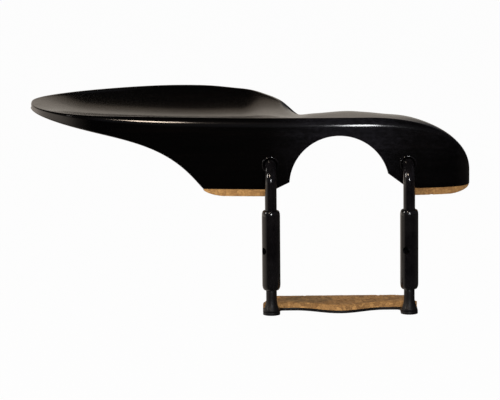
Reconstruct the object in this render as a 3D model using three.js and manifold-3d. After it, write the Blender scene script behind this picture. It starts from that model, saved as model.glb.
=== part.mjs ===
// A violin chinrest: one carved piece of black wood with a side cup and a bridge over the
// tailpiece, standing on two cork-soled feet, and a screw clamp of two hooks, two turnbuckle
// barrels and a corked lower bracket.
//
// Millimetres. +X runs from the cup to the short foot, +Y from the tail end of the instrument
// towards its scroll, and +Z up. The origin lies under the middle of the bridge, at the height
// of the foot corks' undersides, on the front face of the wood.

import * as THREE from 'three';
import { mergeVertices } from 'three/addons/utils/BufferGeometryUtils.js';
import Module from 'manifold-3d';

const wasm = await Module();
wasm.setup();

// Plan of the wood
const cupReach = 88;
const footReach = 37;
const cupDepth = 64.8;
const tongueDepth = 25;
const frontRadius = 300;
const tipY = 35.5;
const tipFrontLength = 24;
const tipBackLength = 14;
const tipRoundness = 2.4;
const endY = 12;
const endFrontLength = 19;
const endBackLength = 18;
const endRoundness = 3.6;

// The cup's back rim, from the tip to the bridge: shares of cupReach and cupDepth
const cupBackShares = [
  [1, 0.72], [0.898, 0.79], [0.795, 0.877], [0.693, 0.946], [0.591, 0.99], [0.5, 1],
  [0.409, 0.975], [0.33, 0.907], [0.261, 0.829], [0.199, 0.653], [0.148, 0.486],
];

// The bridge's back edge, to the short foot's end: shares of footReach and tongueDepth
const tongueBackShares = [[-0.19, 0.952], [0, 0.985], [0.33, 1.02], [0.7, 1], [1, 0.88]];

// Heights of the wood
const soleHeight = 2;
const rimHeight = 22;
const rimTiltShare = 0.015;
const endHeight = 5;
const fallStart = 7.6;
const fallPower = 2.1;
const fallEndPower = 0.38;
const bridgeDrop = 5.1;
const bridgePower = 5.7;
const dishDepth = 5;
const dishEnd = -4;
const dishFadeLength = 23;
const dishTipRun = 16;
const dishTipOverrun = 4;

// How far the back rim drops along the bridge: shares of footReach and bridgeDrop
const bridgeDropShares = [
  [-0.462, 0], [-0.395, 0.07], [-0.259, 0.57], [0, 0.51], [0.432, 0.71], [0.81, 1], [1, 1],
];

// How long the bridge's top stays flat before it falls back: shares of footReach and bridgePower
const bridgePowerShares = [
  [-0.462, 0.175], [-0.27, 0.286], [-0.162, 0.644], [-0.027, 0.86], [0.081, 1], [0.189, 0.719],
  [0.34, 0.491], [0.513, 0.561], [0.676, 0.447], [1, 0.193],
];

// Rounded edge along the front and back
const edgeInset = 1.9;
const edgeDrop = 2.6;
const edgeTipShare = 0.35;
const edgeEndShare = 0.5;
const edgeTipRun = 44;
const edgeEndRun = 26;
const edgeWallShare = 0.6;

// Underside of the cup and the flare of the feet
const tipEdge = 1.4;
const frontEdgeGrowthShare = 0.165;
const backEdge = 2.8;
const backEdgeRun = 14;
const bellyFrontSlopeShare = 0.14;
const bellyBackSlopeShare = 0.45;
const bridgeBaseShare = 0.65;
const longFootStart = -38.2;
const footDepth = 15.5;
const flareLength = 7.7;
const flareDepth = 5;
const flarePower = 1.08;
const frontFootShare = 0.214;
const soleLimitShare = 0.8;

// Arch over the tailpiece, with a bevel at the inner corner of each foot
const archRadius = 14;
const archHeight = 3.1;
const longFootEnd = -18;
const longBevelTop = 4;
const shortFootStart = 19.3;
const shortBevelTop = 6.3;

// Foot corks
const corkInset = 0.2;
const corkCornerLength = 4.6;
const corkCornerRise = 1.8;
const shortCorkGap = 0.3;

// Hooks, their sleeves and the places of the two clamp columns
const columnX = 19.3;
const columnY = -4.8;
const hookRadius = 1.65;
const hookHeight = 9;
const hookBend = 4.5;
const hookDepth = 11.5;
const hookEnd = -12.6;
const runGap = 0.25;
const sleeveRadius = 2.4;
const sleeveLength = 10;
const sleeveProud = 0.3;

// Barrels
const barrelTop = -3;
const barrelLength = 22.5;
const barrelRadius = 2.55;
const shoulderRadius = 2.15;
const shoulderHeight = 1.2;
const neckRadius = 1.95;
const neckHeight = 1.2;
const threadGap = 0.25;
const keyHoleRadius = 1;
const leftKeyTurn = 33;
const rightKeyTurn = 66;

// Posts and the lower clamp
const postRadius = 1.5;
const postTop = -15.6;
const postChamfer = 0.4;
const plateBottom = -32.5;
const plateThickness = 0.8;
const flareFootRadius = 2.2;
const flareFootHeight = 3.6;
const flareFootRim = 0.6;
const tenonRadius = 1;
const tenonGap = 0.3;
const earRadius = 2.4;
const plateBackHalf = 18.4;
const plateBack = 9.6;
const plateFront = 0;
const plateBow = 4.4;
const bowHalfLength = 12.5;
const plateCorner = 1.6;
const plateShoulder = 1.3;
const clampCorkThickness = 1.6;
const clampCorkOverhang = 0.3;

// Shared allowance for cuts, and how finely the shapes are stepped
const overrun = 1;
const probeShare = 0.001;
const roundSides = 24;
const rodSides = 18;
const roundingSteps = 4;
const flareSteps = 5;
const bowSteps = 16;
const edgeSteps = 3;
const topSteps = 16;
const soleSteps = 4;
const bellySteps = 7;
const searchSteps = 30;
const hookBendSteps = 7;

// Materials
const wood = new THREE.MeshStandardMaterial({ color: 0x14110f, roughness: 0.25, metalness: 0 });
const cork = new THREE.MeshStandardMaterial({ color: 0xc99a5b, roughness: 0.9, metalness: 0 });
const steel = new THREE.MeshStandardMaterial({ color: 0x1a1a1f, roughness: 0.2, metalness: 0.6 });

// One named mesh, placed
function piece(name, geometry, material, x = 0, y = 0, z = 0) {
  const mesh = new THREE.Mesh(geometry, material);
  mesh.name = name;
  mesh.position.set(x, y, z);
  return mesh;
}

// A geometry as a solid for joining and cutting
function toSolid(geometry) {
  const bare = geometry.clone();
  bare.deleteAttribute('normal');
  bare.deleteAttribute('uv');
  const merged = mergeVertices(bare);
  return new wasm.Manifold(new wasm.Mesh({
    numProp: 3,
    vertProperties: new Float32Array(merged.attributes.position.array),
    triVerts: new Uint32Array(merged.index.array),
  }));
}

function toGeometry(solid) {
  const mesh = solid.getMesh();
  const geometry = new THREE.BufferGeometry();
  geometry.setAttribute('position', new THREE.BufferAttribute(mesh.vertProperties, 3));
  geometry.setIndex(new THREE.BufferAttribute(mesh.triVerts, 1));
  geometry.computeVertexNormals();
  return geometry;
}

// Eased step from 0 at low to 1 at high
function ease(low, high, x) {
  const share = THREE.MathUtils.clamp((x - low) / (high - low), 0, 1);
  return share * share * (3 - 2 * share);
}

// Quarter of a rounded oblong: 1 until start, falling to 0 at end; 2 gives an ellipse
function quarter(start, end, x, roundness = 2) {
  const share = THREE.MathUtils.clamp((x - start) / (end - start), 0, 1);
  return Math.pow(1 - Math.pow(share, roundness), 1 / roundness);
}

// Smooth curve through points in rising x
function through(marks, x) {
  const last = marks.length - 1;
  let i = 0;
  while (i < last - 1 && x > marks[i + 1][0]) i += 1;
  const slope = (k) => {
    const a = marks[Math.max(k - 1, 0)];
    const b = marks[Math.min(k + 1, last)];
    return (b[1] - a[1]) / (b[0] - a[0]);
  };
  const [x0, y0] = marks[i];
  const [x1, y1] = marks[i + 1];
  const span = x1 - x0;
  const t = THREE.MathUtils.clamp((x - x0) / span, 0, 1);
  const rise = t * t * (3 - 2 * t);
  const bend = t * (1 - t);
  return y0 + (y1 - y0) * rise + span * bend * ((1 - t) * slope(i) - t * slope(i + 1));
}

// Points given as shares of a length and a height
function points(shares, length, height) {
  return shares.map(([along, up]) => [along * length, up * height]);
}

const bridgeDropPoints = points(bridgeDropShares, footReach, bridgeDrop);
const bridgePowerPoints = points(bridgePowerShares, footReach, bridgePower);
const backPoints = [
  ...points(cupBackShares, -cupReach, cupDepth),
  ...points(tongueBackShares, footReach, tongueDepth),
];

// Plan outline of the wood: its front and back for each x
function frontY(x) {
  const sweep = x * x / (2 * frontRadius);
  const tip = quarter(-cupReach + tipFrontLength, -cupReach, x, tipRoundness);
  const end = quarter(footReach - endFrontLength, footReach, x, endRoundness);
  if (x < 0) return tipY - (tipY - sweep) * tip;
  return endY - (endY - sweep) * end;
}

function backY(x) {
  const base = through(backPoints, x);
  const tip = quarter(-cupReach + tipBackLength, -cupReach, x, tipRoundness);
  const end = quarter(footReach - endBackLength, footReach, x, endRoundness);
  if (x < 0) return tipY + (base - tipY) * tip;
  return endY + (base - endY) * end;
}

// Heights of the two rims
function rimZ(x, y, drop) {
  const share = THREE.MathUtils.clamp((x - fallStart) / (footReach - fallStart), 0, 1);
  const fall = Math.pow(1 - Math.pow(share, fallPower), fallEndPower);
  return endHeight + (rimHeight - endHeight) * fall + rimTiltShare * y - drop * fall;
}

function frontRimZ(x) {
  return rimZ(x, frontY(x), 0);
}

function backRimZ(x) {
  return rimZ(x, backY(x), through(bridgeDropPoints, x));
}

// How far the dish sinks below the line from rim to rim
function dish(x) {
  const width = (backY(x) - frontY(x)) / cupDepth;
  const tip = ease(-cupReach - dishTipOverrun, -cupReach + dishTipRun, x);
  return dishDepth * width * width * tip * ease(dishEnd, dishEnd - dishFadeLength, x);
}

// Arch with its two bevels, or nothing outside it
function archZ(x) {
  const long = longBevelTop - archHeight;
  const longTop = -Math.sqrt(archRadius * archRadius - long * long);
  const short = shortBevelTop - archHeight;
  const shortTop = Math.sqrt(archRadius * archRadius - short * short);
  if (x <= longFootEnd || x >= shortFootStart) return soleHeight;
  if (x < longTop) {
    return THREE.MathUtils.mapLinear(x, longFootEnd, longTop, soleHeight, longBevelTop);
  }
  if (x > shortTop) {
    return THREE.MathUtils.mapLinear(x, shortTop, shortFootStart, shortBevelTop, soleHeight);
  }
  return archHeight + Math.sqrt(archRadius * archRadius - x * x);
}

// Underside without the arch: a shallow belly from front to back, drawn down into the feet
function bellyZ(x, y) {
  const front = frontY(x);
  const width = backY(x) - front;
  const t = width > 0 ? THREE.MathUtils.clamp((y - front) / width, 0, 1) : 0;
  const cupEdge = frontRimZ(x) - tipEdge - frontEdgeGrowthShare * (Math.min(x, longFootStart) + cupReach);
  const bridgeEdge = soleHeight + (frontRimZ(x) - soleHeight) * bridgeBaseShare;
  const frontLow = THREE.MathUtils.lerp(cupEdge, bridgeEdge, ease(longFootStart, longFootEnd, x));
  const edge = THREE.MathUtils.lerp(tipEdge, backEdge, ease(-cupReach, -cupReach + backEdgeRun, x));
  const backLow = backRimZ(x) - edge;
  const rise = t * t * (3 - 2 * t);
  const bend = t * (1 - t);
  const base = frontLow + (backLow - frontLow) * rise
    - width * bend * ((1 - t) * bellyFrontSlopeShare + t * bellyBackSlopeShare);
  const aside = Math.max(0, longFootStart - x) / flareLength;
  const behind = Math.max(0, y - footDepth) / flareDepth;
  const flare = Math.exp(-Math.pow(Math.hypot(aside, behind), flarePower));
  return base - (base - soleHeight) * flare;
}

function undersideZ(x, y) {
  return Math.max(bellyZ(x, y), archZ(x));
}

// Where the sole or the arch ends and the free underside begins, going back
function soleBack(x) {
  const front = frontY(x);
  const back = backY(x);
  const limit = THREE.MathUtils.lerp(front, back, soleLimitShare);
  if (x < longFootStart) return THREE.MathUtils.lerp(front, back, frontFootShare);
  let near = Math.min(footDepth, limit);
  let far = limit;
  for (let k = 0; k < searchSteps; k += 1) {
    const middle = (near + far) / 2;
    if (bellyZ(x, middle) > archZ(x)) far = middle;
    else near = middle;
  }
  return near;
}

// Inward direction across the outline in plan
function inward(outline, x, side) {
  if (x <= -cupReach) return [1, 0];
  if (x >= footReach) return [-1, 0];
  const reach = Math.min(overrun, x + cupReach, footReach - x) * probeShare;
  const slope = (outline(x + reach) - outline(x - reach)) / (2 * reach);
  const size = Math.hypot(slope, 1);
  return [-side * slope / size, side / size];
}

// Rows of the rounded edge from the rim down to the underside
function edgeRows(x, side) {
  const outline = side > 0 ? frontY : backY;
  const rim = side > 0 ? frontRimZ(x) : backRimZ(x);
  const y = outline(x);
  const low = undersideZ(x, y);
  const size = THREE.MathUtils.lerp(edgeTipShare, 1, ease(-cupReach, -cupReach + edgeTipRun, x))
    * THREE.MathUtils.lerp(edgeEndShare, 1, ease(footReach, footReach - edgeEndRun, x));
  const inset = edgeInset * size;
  const drop = Math.min(edgeDrop * size, edgeWallShare * (rim - low));
  const [nx, ny] = inward(outline, x, side);
  const rows = [];
  for (let k = 0; k <= edgeSteps; k += 1) {
    const angle = (k / edgeSteps) * Math.PI / 2;
    const inside = inset * (1 - Math.sin(angle));
    rows.push([x + nx * inside, y + ny * inside, rim - drop * (1 - Math.cos(angle))]);
  }
  rows.push([x, y, low]);
  return rows;
}

// One closed ring of points round the wood at a station
function ring(x) {
  const front = edgeRows(x, 1);
  const back = edgeRows(x, -1);
  const rows = [];
  for (let k = 0; k < topSteps; k += 1) {
    const t = k / topSteps;
    const fallen = Math.pow(t, Math.max(1, through(bridgePowerPoints, x)));
    const z = THREE.MathUtils.lerp(front[0][2], back[0][2], fallen) - dish(x) * 4 * t * (1 - t);
    rows.push([
      THREE.MathUtils.lerp(front[0][0], back[0][0], t),
      THREE.MathUtils.lerp(front[0][1], back[0][1], t),
      z,
    ]);
  }
  rows.push(...back);
  const f = frontY(x);
  const b = backY(x);
  const split = soleBack(x);
  for (let k = 1; k <= bellySteps; k += 1) {
    const y = THREE.MathUtils.lerp(b, split, k / bellySteps);
    rows.push([x, y, undersideZ(x, y)]);
  }
  for (let k = 1; k < soleSteps; k += 1) {
    const y = THREE.MathUtils.lerp(split, f, k / soleSteps);
    rows.push([x, y, undersideZ(x, y)]);
  }
  rows.push(...front.reverse().slice(0, -1));
  return rows;
}

// Closed surface through rings of equal count; rings that shrink to a line close the ends
function loft(rings, capped) {
  const count = rings[0].length;
  const position = rings.flat(2);
  const index = [];
  for (let i = 0; i < rings.length - 1; i += 1) {
    for (let j = 0; j < count; j += 1) {
      const a = i * count + j;
      const b = i * count + (j + 1) % count;
      index.push(a, a + count, b, b, a + count, b + count);
    }
  }
  if (capped) {
    const last = (rings.length - 1) * count;
    for (let j = 1; j < count - 1; j += 1) {
      index.push(0, j, j + 1);
      index.push(last, last + j + 1, last + j);
    }
  }
  const geometry = new THREE.BufferGeometry();
  geometry.setAttribute('position', new THREE.Float32BufferAttribute(position, 3));
  geometry.setIndex(index);
  const merged = mergeVertices(geometry);
  const kept = [];
  const corners = merged.index.array;
  for (let i = 0; i < corners.length; i += 3) {
    const [a, b, c] = corners.slice(i, i + 3);
    if (a !== b && b !== c && c !== a) kept.push(a, b, c);
  }
  merged.setIndex(kept);
  merged.computeVertexNormals();
  return merged;
}

// Stations between two places, both ends included; bunch draws them towards one end or both
function stations(low, high, steps, bunch = (s) => s) {
  return Array.from({ length: steps + 1 }, (_, k) => low + (high - low) * bunch(k / steps));
}

const towardsStart = (s) => 1 - Math.cos(s * Math.PI / 2);
const towardsEnd = (s) => Math.sin(s * Math.PI / 2);

function archStations() {
  const from = Math.acos((longBevelTop - archHeight) / archRadius);
  const to = Math.acos((shortBevelTop - archHeight) / archRadius);
  return stations(-from, to, 14).map((angle) => archRadius * Math.sin(angle));
}

// The carved wood, before its two holes
function woodShape() {
  const tipEnd = -cupReach + tipFrontLength;
  const archBand = archStations();
  const places = [
    ...stations(-cupReach, tipEnd, 6, towardsStart),
    ...stations(tipEnd, longFootStart, 8).slice(1),
    ...stations(longFootStart, longFootEnd, 7).slice(1),
    ...stations(longFootEnd, archBand[0], 3).slice(1),
    ...archBand.slice(1),
    ...stations(archBand.at(-1), shortFootStart, 2).slice(1),
    ...stations(shortFootStart, footReach, 8, towardsEnd).slice(1),
  ];
  return loft(places.map(ring), false);
}

// Cylinder along Y with its mouth at y, running away from the viewer
function holeAlongY(radius, x, y, z, length) {
  const drill = new THREE.CylinderGeometry(radius, radius, length, roundSides);
  drill.translate(x, y + length / 2, z);
  return drill;
}

// The chinrest's wood with a hole for each hook's sleeve
function chinrestBody() {
  let solid = toSolid(woodShape());
  for (const x of [-columnX, columnX]) {
    const mouth = frontY(x) - overrun;
    const drill = holeAlongY(sleeveRadius + runGap, x, mouth, hookHeight, hookDepth + runGap + overrun);
    solid = solid.subtract(toSolid(drill));
  }
  return toGeometry(solid);
}

// A cork sole: follows the foot's outline in plan, with its outer lower corner rounded off
function footCork(inner, outer) {
  const direction = Math.sign(outer - inner);
  const flatEnd = outer - direction * corkCornerLength;
  const places = [
    ...stations(inner, flatEnd, 3),
    ...stations(flatEnd, outer, 4, towardsEnd).slice(1),
  ];
  const rings = places.map((x) => {
    const corner = 1 - quarter(flatEnd, flatEnd + direction * corkCornerLength, x);
    const low = corkCornerRise * corner;
    const near = frontY(x) + corkInset;
    const far = Math.min(footDepth, backY(x)) - corkInset;
    return [[x, near, soleHeight], [x, far, soleHeight], [x, far, low], [x, near, low]];
  });
  if (direction < 0) rings.reverse();
  return loft(rings, true);
}

// Path of a hook: into the wood, round the bend and down
class HookPath extends THREE.Curve {
  constructor(legIn, legDown, bendSteps) {
    super();
    this.legIn = legIn;
    this.legDown = legDown;
    this.bendSteps = bendSteps;
  }

  getPoint(t, target = new THREE.Vector3()) {
    const place = t * (this.bendSteps + 2);
    const turn = THREE.MathUtils.clamp((place - 1) / this.bendSteps, 0, 1) * Math.PI / 2;
    const y = hookBend * (1 - Math.sin(turn));
    const z = hookHeight - hookBend * (1 - Math.cos(turn));
    const into = Math.max(0, 1 - place) * this.legIn;
    const down = Math.max(0, place - 1 - this.bendSteps) * this.legDown;
    return target.set(0, y + into, z - down);
  }

  getPointAt(u, target) {
    return this.getPoint(u, target);
  }

  getTangentAt(u, target = new THREE.Vector3()) {
    const place = u * (this.bendSteps + 2);
    const turn = THREE.MathUtils.clamp((place - 1) / this.bendSteps, 0, 1) * Math.PI / 2;
    return target.set(0, -Math.cos(turn), -Math.sin(turn));
  }
}

function hook() {
  const legIn = frontY(columnX) + hookDepth - columnY - hookBend;
  const path = new HookPath(legIn, hookHeight - hookBend - hookEnd, hookBendSteps);
  const section = new THREE.Shape().absarc(0, 0, hookRadius, 0, 2 * Math.PI);
  return new THREE.ExtrudeGeometry(section, {
    extrudePath: path,
    steps: path.bendSteps + 2,
    curveSegments: rodSides,
    bevelEnabled: false,
  });
}

// Turned piece from radius and height pairs
function turned(profile) {
  return new THREE.LatheGeometry(profile.map(([r, h]) => new THREE.Vector2(r, h)), roundSides);
}

// Sleeve round a hook's leg, flush with the wood but for a small proud rim
function hookSleeve() {
  const inner = hookRadius + runGap;
  const profile = [
    [inner, 0], [sleeveRadius, 0], [sleeveRadius, sleeveLength + sleeveProud],
    [inner, sleeveLength + sleeveProud], [inner, 0],
  ];
  return turned(profile);
}

// Turnbuckle barrel: rounded shoulder above, bevelled neck below, cross hole for the key
function barrel() {
  const hookBore = hookRadius + threadGap;
  const postBore = postRadius + threadGap;
  const low = barrelTop - barrelLength;
  const middle = barrelTop - barrelLength / 2;
  const profile = [[postBore, low], [neckRadius, low], [barrelRadius, low + neckHeight]];
  for (let k = 0; k <= roundingSteps; k += 1) {
    const angle = (k / roundingSteps) * Math.PI / 2;
    profile.push([
      shoulderRadius + (barrelRadius - shoulderRadius) * Math.cos(angle),
      barrelTop - shoulderHeight * (1 - Math.sin(angle)),
    ]);
  }
  profile.push([hookBore, barrelTop], [hookBore, middle], [postBore, middle], [postBore, low]);
  const key = new THREE.CylinderGeometry(
    keyHoleRadius,
    keyHoleRadius,
    2 * (barrelRadius + overrun),
    roundSides / 2,
  );
  key.rotateZ(Math.PI / 2);
  key.translate(0, middle, 0);
  return toGeometry(toSolid(turned(profile)).subtract(toSolid(key)));
}

// Upright of the clamp: riveted through the plate, flared where it stands on it
function post() {
  const plateTop = plateBottom + plateThickness;
  const profile = [[0, plateBottom], [tenonRadius, plateBottom], [tenonRadius, plateTop]];
  profile.push([flareFootRadius, plateTop], [flareFootRadius, plateTop + flareFootRim]);
  const flareRise = flareFootHeight - flareFootRim;
  for (let k = 1; k <= flareSteps; k += 1) {
    const share = k / flareSteps;
    profile.push([
      postRadius + (flareFootRadius - postRadius) * (1 - share) * (1 - share),
      plateTop + flareFootRim + flareRise * share,
    ]);
  }
  profile.push([postRadius, postTop - postChamfer], [postRadius - postChamfer, postTop], [0, postTop]);
  return turned(profile);
}

// Half of the lower clamp's plan across its front, where it meets the posts' ears
const plateFrontHalf = columnX + earRadius;

// Front edge of the lower clamp in plan: straight near the posts, bowed forward in the middle
function bowY(x) {
  const share = Math.min(1, Math.abs(x) / bowHalfLength);
  return plateFront - plateBow * Math.cos(share * Math.PI / 2) ** 2;
}

// Back of the lower clamp in plan, from right to left: slanted sides and rounded corners
function drawBack(shape, overhang) {
  const half = plateBackHalf + overhang;
  const back = plateBack + overhang;
  const lean = (plateFrontHalf - half) / (back - plateFront);
  const turn = half + lean * plateCorner;
  shape.lineTo(plateFrontHalf, plateFront);
  shape.lineTo(turn, back - plateCorner);
  shape.quadraticCurveTo(half, back, half - plateCorner, back);
  shape.lineTo(-half + plateCorner, back);
  shape.quadraticCurveTo(-half, back, -turn, back - plateCorner);
  shape.lineTo(-plateFrontHalf, plateFront);
}

// Plate with an ear round each post
function clampPlate() {
  const inner = columnX - earRadius;
  const shape = new THREE.Shape();
  shape.moveTo(-plateFrontHalf, columnY);
  shape.absarc(-columnX, columnY, earRadius, Math.PI, 2 * Math.PI);
  shape.lineTo(-inner, plateFront - plateShoulder);
  shape.quadraticCurveTo(-inner, plateFront, -inner + plateShoulder, plateFront);
  for (const x of stations(-bowHalfLength, bowHalfLength, bowSteps)) shape.lineTo(x, bowY(x));
  shape.lineTo(inner - plateShoulder, plateFront);
  shape.quadraticCurveTo(inner, plateFront, inner, plateFront - plateShoulder);
  shape.lineTo(inner, columnY);
  shape.absarc(columnX, columnY, earRadius, Math.PI, 2 * Math.PI);
  drawBack(shape, 0);
  for (const x of [-columnX, columnX]) {
    const hole = new THREE.Path();
    hole.absarc(x, columnY, tenonRadius + tenonGap, 0, 2 * Math.PI, true);
    shape.holes.push(hole);
  }
  return new THREE.ExtrudeGeometry(shape, { depth: plateThickness, bevelEnabled: false, curveSegments: 8 });
}

// Cork strip on the plate, behind the posts
function clampCork() {
  const shape = new THREE.Shape();
  shape.moveTo(-plateFrontHalf, plateFront);
  for (const x of stations(-bowHalfLength, bowHalfLength, bowSteps)) shape.lineTo(x, bowY(x));
  drawBack(shape, clampCorkOverhang);
  return new THREE.ExtrudeGeometry(shape, {
    depth: clampCorkThickness,
    bevelEnabled: false,
    curveSegments: 6,
  });
}

// Assembly
const group = new THREE.Group();
group.add(piece('chinrest_body', chinrestBody(), wood));
group.add(piece('left_foot_cork', footCork(longFootEnd, longFootStart), cork));
group.add(piece('right_foot_cork', footCork(shortFootStart, footReach - shortCorkGap), cork));

for (const [side, sign, keyTurn] of [['left', -1, leftKeyTurn], ['right', 1, rightKeyTurn]]) {
  const column = new THREE.Group();
  column.position.set(sign * columnX, columnY, 0);
  const mouth = frontY(sign * columnX) - columnY;
  const sleeve = piece(`${side}_hook_insert`, hookSleeve(), steel, 0, mouth + sleeveLength, hookHeight);
  sleeve.rotation.x = Math.PI;
  const turnbuckle = piece(`${side}_barrel`, barrel(), steel);
  turnbuckle.rotation.set(Math.PI / 2, THREE.MathUtils.degToRad(keyTurn), 0);
  const upright = piece(`${side}_post`, post(), steel);
  upright.rotation.x = Math.PI / 2;
  column.add(piece(`${side}_hook`, hook(), steel));
  column.add(sleeve, turnbuckle, upright);
  group.add(column);
}

group.add(piece('clamp_plate', clampPlate(), steel, 0, 0, plateBottom));
group.add(piece('clamp_cork', clampCork(), cork, 0, 0, plateBottom + plateThickness));

export default group;
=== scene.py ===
# A violin chinrest of black wood with its screw clamp, seen from the tail end of the instrument.
# Blender works in metres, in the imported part's frame. Sizes below are in millimetres.
import math

import bmesh
import bpy
from mathutils import Matrix, Vector, noise


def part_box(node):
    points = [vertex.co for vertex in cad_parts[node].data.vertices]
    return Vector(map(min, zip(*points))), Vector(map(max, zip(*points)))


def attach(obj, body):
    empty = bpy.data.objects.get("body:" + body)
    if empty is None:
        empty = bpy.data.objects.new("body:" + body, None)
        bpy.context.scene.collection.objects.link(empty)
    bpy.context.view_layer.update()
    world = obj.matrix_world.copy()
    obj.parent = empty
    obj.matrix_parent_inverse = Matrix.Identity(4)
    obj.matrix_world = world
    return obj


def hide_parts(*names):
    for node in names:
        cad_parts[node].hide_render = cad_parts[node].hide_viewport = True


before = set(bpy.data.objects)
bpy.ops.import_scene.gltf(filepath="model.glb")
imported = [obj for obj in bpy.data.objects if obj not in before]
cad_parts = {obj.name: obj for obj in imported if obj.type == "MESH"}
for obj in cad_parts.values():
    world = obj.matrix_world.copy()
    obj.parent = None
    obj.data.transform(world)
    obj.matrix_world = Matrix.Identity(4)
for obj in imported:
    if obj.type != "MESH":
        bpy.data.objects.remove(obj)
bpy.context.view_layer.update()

scene = bpy.context.scene
MM = 0.001


# The camera: about a metre in front of the chinrest, looking 10 degrees down at it, with the
# frame turned half a degree, as in the photograph.
camera_place = Vector((-25.094, -985.47, 172.993)) * MM
camera_dip = math.radians(10.0)
camera_roll = math.radians(0.5)
frame_width = 36.0
focal_pixels = 3571.4
image_width = 500

camera_data = bpy.data.cameras.new("camera")
camera_data.sensor_width = frame_width
camera_data.lens = frame_width * focal_pixels / image_width
camera = bpy.data.objects.new("camera", camera_data)
scene.collection.objects.link(camera)
scene.camera = camera

ahead = Vector((0, math.cos(camera_dip), -math.sin(camera_dip)))
level_up = Vector((0, math.sin(camera_dip), math.cos(camera_dip)))
level_right = Vector((1, 0, 0))
right = level_right * math.cos(camera_roll) - level_up * math.sin(camera_roll)
up = level_up * math.cos(camera_roll) + level_right * math.sin(camera_roll)
turn = Matrix((right, up, -ahead)).transposed().to_4x4()
camera.matrix_world = Matrix.Translation(camera_place) @ turn

scene.view_settings.view_transform = "Standard"


# The studio: a white room. The camera sees pure white, and matte surfaces get an even fill. Gloss
# sees a white backdrop low down to the left and behind, and a dim room elsewhere.
class Shade:
    """One socket of a node tree; sums and products of values add Math nodes."""

    def __init__(self, tree, socket=None):
        self.tree = tree
        self.socket = socket

    def node(self, kind, settings=None, sockets=None, output=0):
        """Adds a node: its settings first, then the values or links of its sockets."""
        made = self.tree.nodes.new(kind)
        for name, value in (settings or {}).items():
            if name == "stops":
                ramp = made.color_ramp.elements
                while len(ramp) < len(value):
                    ramp.new(1.0)
                for stop, (place, tone) in zip(ramp, value):
                    stop.position = place
                    stop.color = (*tone, 1.0)
            else:
                setattr(made, name, value)
        for name, value in (sockets or {}).items():
            if isinstance(value, Shade):
                self.tree.links.new(value.socket, made.inputs[name])
            else:
                made.inputs[name].default_value = value
        return Shade(self.tree, made.outputs[output])

    def out(self, name):
        return Shade(self.tree, self.socket.node.outputs[name])

    def into(self, socket):
        self.tree.links.new(self.socket, socket)

    def maths(self, operation, first, second):
        return self.node("ShaderNodeMath", {"operation": operation}, {0: first, 1: second})

    def __add__(self, other):
        return self.maths("ADD", self, other)

    __radd__ = __add__

    def __sub__(self, other):
        return self.maths("SUBTRACT", self, other)

    def __rsub__(self, other):
        return self.maths("SUBTRACT", other, self)

    def __mul__(self, other):
        return self.maths("MULTIPLY", self, other)

    __rmul__ = __mul__

    def stretched(self, scale):
        """A place or direction with each of its axes scaled."""
        return self.node("ShaderNodeVectorMath", {"operation": "MULTIPLY"}, {0: self, 1: scale})

    def between(self, low, high, to_low=0.0, to_high=1.0):
        """The value eased from to_low at low to to_high at high."""
        return self.node(
            "ShaderNodeMapRange",
            {"interpolation_type": "SMOOTHSTEP"},
            {"Value": self, "From Min": low, "From Max": high, "To Min": to_low, "To Max": to_high},
        )

    def noise(self, spot, scale, detail, roughness=0.5, output=0):
        """A noise texture over the places in spot."""
        sockets = {"Vector": spot, "Scale": scale, "Detail": detail, "Roughness": roughness}
        return self.node("ShaderNodeTexNoise", sockets=sockets, output=output)

    def bump(self, strength, distance, height):
        sockets = {"Strength": strength, "Distance": distance, "Height": height}
        return self.node("ShaderNodeBump", sockets=sockets)

    def vector_maths(self, operation, first, second):
        """The number that a vector operation gives."""
        sockets = {0: first, 1: second}
        return self.node("ShaderNodeVectorMath", {"operation": operation}, sockets, output="Value")

    def blend(self, other, share, kind="MIX"):
        """This colour with another mixed over it by share."""
        if not isinstance(other, Shade):
            other = (*other, 1.0)
        return self.node(
            "ShaderNodeMix",
            {"data_type": "RGBA", "blend_type": kind},
            {0: share, 6: self, 7: other},
            output=2,
        )


def side_share(direction, facing, low, high):
    """Rises from 0 to 1 as a level direction turns towards facing, eased between two cosines."""
    level = direction.node(
        "ShaderNodeVectorMath", {"operation": "NORMALIZE"}, {0: direction.stretched((1, 1, 0))}
    )
    return level.vector_maths("DOT_PRODUCT", level, facing).between(low, high)


# The white backdrop stands from the left round to behind the chinrest.
backdrop_facing = (-0.79, 0.61, 0)

world = bpy.data.worlds.new("studio")
scene.world = world
world.use_nodes = True
room = Shade(world.node_tree)
towards = room.node("ShaderNodeTexCoord", output="Generated")
axes = room.node("ShaderNodeSeparateXYZ", sockets={0: towards})
height = axes.out("Z")
leftwards = axes.out("X").between(-0.4, 0.4, 1.35, 0.75)
rays = room.node("ShaderNodeLightPath")
backdrop = room.node(
    "ShaderNodeValToRGB",
    {"stops": [(0.0, (0.5, 0.46, 0.41)), (0.17, (0.46, 0.41, 0.355)), (0.215, (0.43, 0.38, 0.325)),
               (0.26, (0.3, 0.26, 0.22)), (0.34, (0.18, 0.148, 0.117)), (0.4, (0.016, 0.012, 0.009)),
               (0.5, (0.003, 0.0026, 0.0022))]},
    {"Fac": height},
)
dim_side = room.node(
    "ShaderNodeValToRGB",
    {"stops": [(0.0, (0.02, 0.02, 0.023)), (0.16, (0.07, 0.07, 0.08)), (0.62, (0.07, 0.07, 0.08)),
               (0.82, (0.015,) * 3)]},
    {"Fac": height},
)
reflected = dim_side.blend(backdrop, side_share(towards, backdrop_facing, 0.49, 0.56))
fill = height.between(0.0, 1.0, 0.46, 0.72)
seen = rays.out("Is Camera Ray")
glossy = rays.out("Is Glossy Ray")
matte = reflected.blend((1, 1, 1), 1 - glossy)
background = world.node_tree.nodes["Background"]
matte.into(background.inputs["Color"])
strength = seen + (1 - seen) * (glossy * leftwards + (1 - glossy) * fill)
strength.into(background.inputs["Strength"])

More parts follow.
